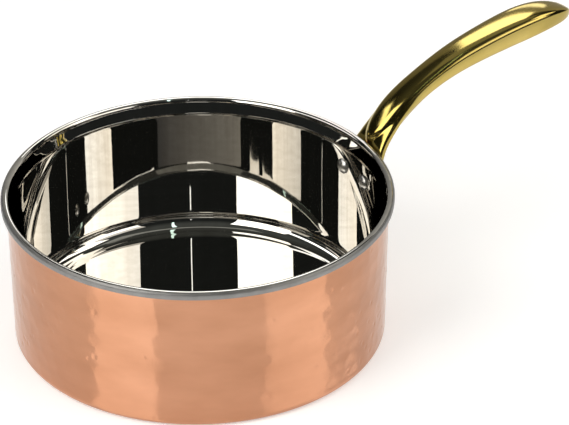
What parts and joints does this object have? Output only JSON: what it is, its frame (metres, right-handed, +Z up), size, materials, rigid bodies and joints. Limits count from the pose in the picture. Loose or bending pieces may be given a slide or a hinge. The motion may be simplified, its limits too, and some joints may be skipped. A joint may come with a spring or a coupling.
{
  "type": "saucepan",
  "caption": "Copper saucepan with a hammered jacket, mirror-polished steel lining, satin steel rolled rim and a riveted cast brass handle.",
  "frame": {"origin": "centre of the underside of the base, on the surface that the pan rests on", "axes": "+Z up along the pan's axis, +X along the handle, +Y to the left seen from the end of the handle towards the pan"},
  "size_m": [0.3273, 0.2, 0.1294],
  "materials": {
    "hammered_copper": "polished",
    "polished_steel": "polished",
    "core_aluminium": "satin",
    "cast_brass": "polished",
    "rivet_steel": "satin"
  },
  "bodies": {
    "root": {"copper_jacket": "hammered_copper", "steel_liner": "polished_steel", "base_core": "core_aluminium", "handle": "cast_brass", "handle_rivets": "rivet_steel"}
  },
  "joints": []
}
